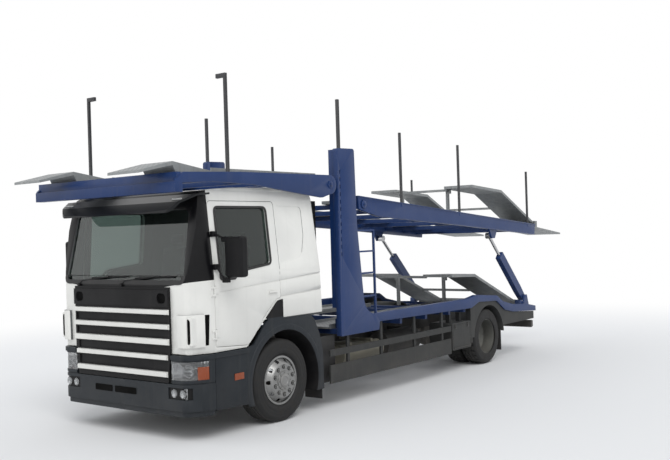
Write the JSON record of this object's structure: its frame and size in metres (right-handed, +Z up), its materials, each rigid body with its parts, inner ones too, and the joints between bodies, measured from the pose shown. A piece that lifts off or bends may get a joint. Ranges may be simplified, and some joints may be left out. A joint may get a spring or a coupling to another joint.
{
  "type": "car transporter truck",
  "caption": "Rigid cab-over lorry with a two-level car carrier body: a deck over the cab, a tilting upper deck on struts, a lower deck, tilting ramps and a towing jaw.",
  "frame": {"origin": "on the ground under the middle of the vehicle's overall length and width", "axes": "+Z up, front towards -Y, +X the vehicle's left"},
  "size_m": [3.2, 10.6, 4.16],
  "materials": {
    "tyre": "matte",
    "wheel_paint": "satin",
    "cast_metal": "matte",
    "frame_paint": "satin",
    "cab_paint": "gloss",
    "bumper_plastic": "matte",
    "grille_plastic": "satin",
    "visor_plastic": "gloss",
    "glass": "clear",
    "lamp_lens": "clear",
    "amber_lens": "clear",
    "dash_plastic": "matte",
    "seat_fabric": "woven",
    "mirror_plastic": "matte",
    "body_paint": "gloss",
    "deck_zinc": "dull",
    "guard_paint": "satin",
    "tank_paint": "satin",
    "steel": "polished"
  },
  "bodies": {
    "chassis": {"chassis_frame": "frame_paint", "front_axle": "cast_metal", "rear_axle": "cast_metal", "engine_block": "cast_metal", "propshaft": "frame_paint", "cab_shell": "cab_paint", "windscreen": "glass", "dashboard": "dash_plastic", "steering_wheel": "dash_plastic", "seats": "seat_fabric", "bunk": "seat_fabric", "bumper": "bumper_plastic", "headlamps": "lamp_lens", "turn_lamps": "amber_lens", "grille": "grille_plastic", "grille_bars": "cab_paint", "sun_visor": "visor_plastic", "front_fenders": "bumper_plastic", "body_frame_left": "body_paint", "body_frame_right": "body_paint", "body_crossmembers": "body_paint", "tail_frame": "body_paint", "lower_runways": "deck_zinc", "rear_fenders": "guard_paint", "side_guards": "guard_paint", "toolboxes": "guard_paint", "ladder": "deck_zinc", "fuel_tank": "frame_paint", "air_tanks": "tank_paint", "silencer": "frame_paint", "rear_bar": "frame_paint", "tow_coupling": "cast_metal"},
    "knuckle_left": {"knuckle_left": "cast_metal"},
    "knuckle_right": {"knuckle_right": "cast_metal"},
    "wheel_front_left": {"tyre_front_left": "tyre", "rim_front_left": "wheel_paint"},
    "wheel_front_right": {"tyre_front_right": "tyre", "rim_front_right": "wheel_paint"},
    "wheels_rear_left": {"tyres_rear_left": "tyre", "rims_rear_left": "wheel_paint"},
    "wheels_rear_right": {"tyres_rear_right": "tyre", "rims_rear_right": "wheel_paint"},
    "door_left": {"door_left": "cab_paint", "door_glass_left": "glass", "mirror_left": "mirror_plastic"},
    "door_right": {"door_right": "cab_paint", "door_glass_right": "glass", "mirror_right": "mirror_plastic"},
    "header_deck": {"header_frame": "body_paint", "header_trays": "deck_zinc"},
    "upper_deck": {"upper_frame": "body_paint", "upper_runways": "deck_zinc"},
    "upper_ramp": {"upper_ramp": "deck_zinc"},
    "lower_ramp": {"lower_ramp": "deck_zinc"},
    "strut_left": {"strut_left": "body_paint"},
    "strut_right": {"strut_right": "body_paint"},
    "strut_rod_left": {"strut_rod_left": "steel"},
    "strut_rod_right": {"strut_rod_right": "steel"}
  },
  "joints": [
    {"name": "steer_left", "type": "hinge", "parent": "chassis", "child": "knuckle_left", "pos_m": [1, -3.22, 0.507], "axis": [0, 0, 1], "range_deg": [-35, 35]},
    {"name": "steer_right", "type": "hinge", "parent": "chassis", "child": "knuckle_right", "pos_m": [-1, -3.22, 0.507], "axis": [0, 0, 1], "range_deg": [-35, 35]},
    {"name": "wheel_front_left_spin", "type": "hinge", "parent": "knuckle_left", "child": "wheel_front_left", "pos_m": [1.0625, -3.22, 0.507], "axis": [1, 0, 0], "continuous": true},
    {"name": "wheels_rear_left_spin", "type": "hinge", "parent": "chassis", "child": "wheels_rear_left", "pos_m": [0.91, 2.08, 0.463], "axis": [1, 0, 0], "continuous": true},
    {"name": "door_left_hinge", "type": "hinge", "parent": "chassis", "child": "door_left", "pos_m": [1.215, -4.324, 1.8], "axis": [0, 0, -1], "range_deg": [0, 70]},
    {"name": "wheel_front_right_spin", "type": "hinge", "parent": "knuckle_right", "child": "wheel_front_right", "pos_m": [-1.0625, -3.22, 0.507], "axis": [1, 0, 0], "continuous": true},
    {"name": "wheels_rear_right_spin", "type": "hinge", "parent": "chassis", "child": "wheels_rear_right", "pos_m": [-0.91, 2.08, 0.463], "axis": [1, 0, 0], "continuous": true},
    {"name": "door_right_hinge", "type": "hinge", "parent": "chassis", "child": "door_right", "pos_m": [-1.215, -4.324, 1.8], "axis": [0, 0, 1], "range_deg": [0, 70]},
    {"name": "header_deck_tilt", "type": "hinge", "parent": "chassis", "child": "header_deck", "pos_m": [0, -2.2, 2.925], "axis": [-1, 0, 0], "range_deg": [0, 8]},
    {"name": "upper_deck_tilt", "type": "hinge", "parent": "chassis", "child": "upper_deck", "pos_m": [0, -1.46, 2.67], "axis": [-1, 0, 0], "range_deg": [0, 8]},
    {"name": "upper_ramp_tilt", "type": "hinge", "parent": "upper_deck", "child": "upper_ramp", "pos_m": [0, 4.38, 2.3725], "axis": [1, 0, 0], "range_deg": [0, 10]},
    {"name": "lower_ramp_tilt", "type": "hinge", "parent": "chassis", "child": "lower_ramp", "pos_m": [0, 3.48, 0.9375], "axis": [1, 0, 0], "range_deg": [0, 10]},
    {"name": "strut_left_swing", "type": "hinge", "parent": "chassis", "child": "strut_left", "pos_m": [1.1275, 3.61, 1.01], "axis": [1, 0, 0], "range_deg": [0, 19]},
    {"name": "strut_rod_left_slide", "type": "slide", "parent": "strut_left", "child": "strut_rod_left", "axis": [0, -0.7191, 0.6949], "range_m": [-0.22, 0]},
    {"name": "strut_right_swing", "type": "hinge", "parent": "chassis", "child": "strut_right", "pos_m": [-1.1275, 3.61, 1.01], "axis": [1, 0, 0], "range_deg": [0, 19]},
    {"name": "strut_rod_right_slide", "type": "slide", "parent": "strut_right", "child": "strut_rod_right", "axis": [0, -0.7191, 0.6949], "range_m": [-0.22, 0]}
  ],
  "couplings": [
    {"joint": "steer_right", "follows": "steer_left", "ratio": 1},
    {"joint": "strut_left_swing", "follows": "upper_deck_tilt", "ratio": 2.335},
    {"joint": "strut_rod_left_slide", "follows": "upper_deck_tilt", "m_per_rad": -1.56},
    {"joint": "strut_right_swing", "follows": "upper_deck_tilt", "ratio": 2.335},
    {"joint": "strut_rod_right_slide", "follows": "upper_deck_tilt", "m_per_rad": -1.56}
  ]
}
